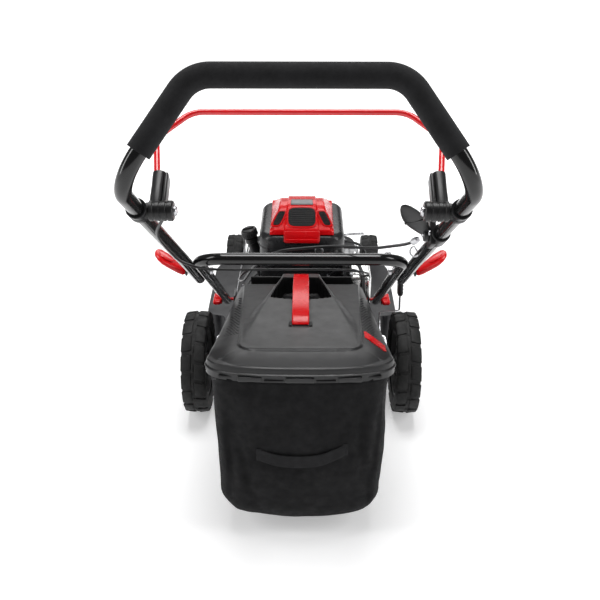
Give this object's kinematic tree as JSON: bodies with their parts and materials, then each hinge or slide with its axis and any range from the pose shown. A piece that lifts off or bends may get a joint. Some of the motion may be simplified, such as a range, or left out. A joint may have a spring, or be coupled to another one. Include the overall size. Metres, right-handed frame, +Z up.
{
  "type": "lawn mower",
  "caption": "Walk-behind petrol lawn mower with a rear grass catcher, folding tube handle, blade-brake bail and one-lever cutting height.",
  "frame": {"origin": "bottom centre of the whole mower, on the ground it stands on", "axes": "+Y forwards, from the handle to the mower's nose; +Z up; +X to the right of the person pushing it"},
  "size_m": [0.578, 1.4692, 1.0333],
  "materials": {
    "deck_paint": "satin",
    "gloss_black": "gloss",
    "satin_black": "satin",
    "black_metal": "satin",
    "red_plastic": "gloss",
    "red_paint": "gloss",
    "lid_plastic": "satin",
    "foam": "matte",
    "bag_fabric": "matte",
    "steel": "satin",
    "aluminium": "satin",
    "rubber": "matte"
  },
  "bodies": {
    "chassis": {"deck": "deck_paint", "handle_bracket_left": "black_metal", "handle_bracket_right": "black_metal", "flap_rod": "steel", "flap_spring": "steel", "engine_block": "aluminium", "cylinder_head": "aluminium", "spark_plug": "steel", "muffler": "aluminium", "carburettor": "aluminium", "air_filter_box": "satin_black", "fuel_tank": "satin_black", "oil_tube": "black_metal", "blower_housing": "satin_black", "engine_cover": "red_plastic", "cover_grille": "satin_black"},
    "blade_rotor": {"crankshaft": "steel", "flywheel": "aluminium", "blade_adapter": "steel", "blade": "steel"},
    "recoil_pulley": {"recoil_pulley": "satin_black"},
    "recoil_grip": {"recoil_grip": "satin_black"},
    "fuel_cap": {"fuel_cap": "satin_black"},
    "oil_cap": {"oil_cap": "satin_black"},
    "rear_axle": {"rear_axle": "steel", "height_lever": "steel", "height_grip": "satin_black"},
    "front_axle": {"front_axle": "steel"},
    "height_link": {"height_link": "steel"},
    "rear_flap": {"rear_flap": "satin_black"},
    "lower_handle": {"lower_handle": "gloss_black", "lock_bolt_left": "steel", "lock_bolt_right": "steel", "throttle_cable": "satin_black", "brake_cable": "satin_black"},
    "upper_handle": {"upper_handle": "gloss_black", "foam_grip": "foam", "bail_clamp_left": "steel", "bail_clamp_right": "steel", "throttle_bracket": "satin_black"},
    "bail": {"bail_rod": "red_paint", "bail_hub_left": "satin_black", "bail_hub_right": "satin_black"},
    "throttle_lever": {"throttle_lever": "satin_black"},
    "lock_lever_left": {"lock_lever_left": "red_plastic"},
    "lock_lever_right": {"lock_lever_right": "red_plastic"},
    "bracket_knob_left": {"bracket_knob_left": "red_plastic"},
    "bracket_knob_right": {"bracket_knob_right": "red_plastic"},
    "catcher": {"catcher_lid": "lid_plastic", "catcher_frame": "steel", "catcher_handle": "red_plastic", "catcher_bag": "bag_fabric"},
    "rear_wheel_left": {"rear_wheel_left_tyre": "rubber", "rear_wheel_left_hub": "satin_black"},
    "rear_wheel_right": {"rear_wheel_right_tyre": "rubber", "rear_wheel_right_hub": "satin_black"},
    "front_wheel_left": {"front_wheel_left_tyre": "rubber", "front_wheel_left_hub": "satin_black"},
    "front_wheel_right": {"front_wheel_right_tyre": "rubber", "front_wheel_right_hub": "satin_black"}
  },
  "joints": [
    {"name": "blade_spin", "type": "hinge", "parent": "chassis", "child": "blade_rotor", "pos_m": [0, 0.36166, 0.1], "axis": [0, 0, 1], "continuous": true},
    {"name": "starter_pull", "type": "slide", "parent": "chassis", "child": "recoil_grip", "axis": [0, -0.5, 0.866], "range_m": [0, 0.8], "stiffness_N_per_m": 20, "springref_m": -0.1},
    {"name": "pulley_turn", "type": "hinge", "parent": "chassis", "child": "recoil_pulley", "pos_m": [0, 0.36166, 0.332], "axis": [0, 0, 1], "range_deg": [0, 1030]},
    {"name": "fuel_cap_turn", "type": "hinge", "parent": "chassis", "child": "fuel_cap", "pos_m": [-0.05, 0.52166, 0.309], "axis": [0, 0, 1], "range_deg": [0, 90]},
    {"name": "oil_cap_turn", "type": "hinge", "parent": "chassis", "child": "oil_cap", "pos_m": [-0.139, 0.32666, 0.331], "axis": [-0.2605, 0, 0.9655], "range_deg": [0, 90]},
    {"name": "height_adjust", "type": "hinge", "parent": "chassis", "child": "rear_axle", "pos_m": [0, 0.08785, 0.161], "axis": [1, 0, 0], "range_deg": [0, 50]},
    {"name": "front_height", "type": "hinge", "parent": "chassis", "child": "front_axle", "pos_m": [0, 0.70785, 0.122], "axis": [1, 0, 0], "range_deg": [0, 50]},
    {"name": "link_turn", "type": "hinge", "parent": "rear_axle", "child": "height_link", "pos_m": [0, 0.08785, 0.201], "axis": [1, 0, 0], "range_deg": [-50, 0]},
    {"name": "rear_wheel_left_spin", "type": "hinge", "parent": "rear_axle", "child": "rear_wheel_left", "pos_m": [-0.256, 0.02666, 0.127], "axis": [1, 0, 0], "continuous": true},
    {"name": "front_wheel_left_spin", "type": "hinge", "parent": "front_axle", "child": "front_wheel_left", "pos_m": [-0.211, 0.64666, 0.088], "axis": [1, 0, 0], "continuous": true},
    {"name": "rear_wheel_right_spin", "type": "hinge", "parent": "rear_axle", "child": "rear_wheel_right", "pos_m": [0.256, 0.02666, 0.127], "axis": [1, 0, 0], "continuous": true},
    {"name": "front_wheel_right_spin", "type": "hinge", "parent": "front_axle", "child": "front_wheel_right", "pos_m": [0.211, 0.64666, 0.088], "axis": [1, 0, 0], "continuous": true},
    {"name": "flap_open", "type": "hinge", "parent": "chassis", "child": "rear_flap", "pos_m": [0, 0.04666, 0.236], "axis": [-1, 0, 0], "range_deg": [0, 25], "stiffness_Nm_per_rad": 0.12, "springref_deg": -68.75, "deforming": ["flap_spring"]},
    {"name": "handle_height", "type": "hinge", "parent": "chassis", "child": "lower_handle", "pos_m": [0, 0.12666, 0.25], "axis": [1, 0, 0], "range_deg": [-8, 4], "deforming": ["throttle_cable", "brake_cable"]},
    {"name": "handle_fold", "type": "hinge", "parent": "lower_handle", "child": "upper_handle", "pos_m": [0, -0.23273, 0.52082], "axis": [-1, 0, 0], "range_deg": [0, 125], "deforming": ["throttle_cable", "brake_cable"]},
    {"name": "bail_squeeze", "type": "hinge", "parent": "upper_handle", "child": "bail", "pos_m": [0, -0.64003, 0.82774], "axis": [1, 0, 0], "range_deg": [0, 64], "stiffness_Nm_per_rad": 0.6, "springref_deg": -34.38},
    {"name": "throttle_turn", "type": "hinge", "parent": "upper_handle", "child": "throttle_lever", "pos_m": [0.195, -0.51825, 0.74745], "axis": [1, 0, 0], "range_deg": [-25, 25]},
    {"name": "lock_lever_left_turn", "type": "hinge", "parent": "lower_handle", "child": "lock_lever_left", "pos_m": [-0.2327, -0.23273, 0.52082], "axis": [0, -1, 0], "range_deg": [0, 90]},
    {"name": "lock_lever_right_turn", "type": "hinge", "parent": "lower_handle", "child": "lock_lever_right", "pos_m": [0.2327, -0.23273, 0.52082], "axis": [0, 1, 0], "range_deg": [0, 90]},
    {"name": "bracket_knob_left_turn", "type": "hinge", "parent": "chassis", "child": "bracket_knob_left", "pos_m": [-0.2, 0.12666, 0.25], "axis": [1, 0, 0], "continuous": true},
    {"name": "bracket_knob_right_turn", "type": "hinge", "parent": "chassis", "child": "bracket_knob_right", "pos_m": [0.2, 0.12666, 0.25], "axis": [1, 0, 0], "continuous": true},
    {"name": "catcher_unhook", "type": "slide", "parent": "chassis", "child": "catcher", "axis": [0, -0.9403, 0.3403], "range_m": [0, 0.3]}
  ],
  "couplings": [
    {"joint": "pulley_turn", "follows": "starter_pull", "rad_per_m": 22.2},
    {"joint": "front_height", "follows": "height_adjust", "ratio": 1},
    {"joint": "link_turn", "follows": "height_adjust", "ratio": -1}
  ]
}
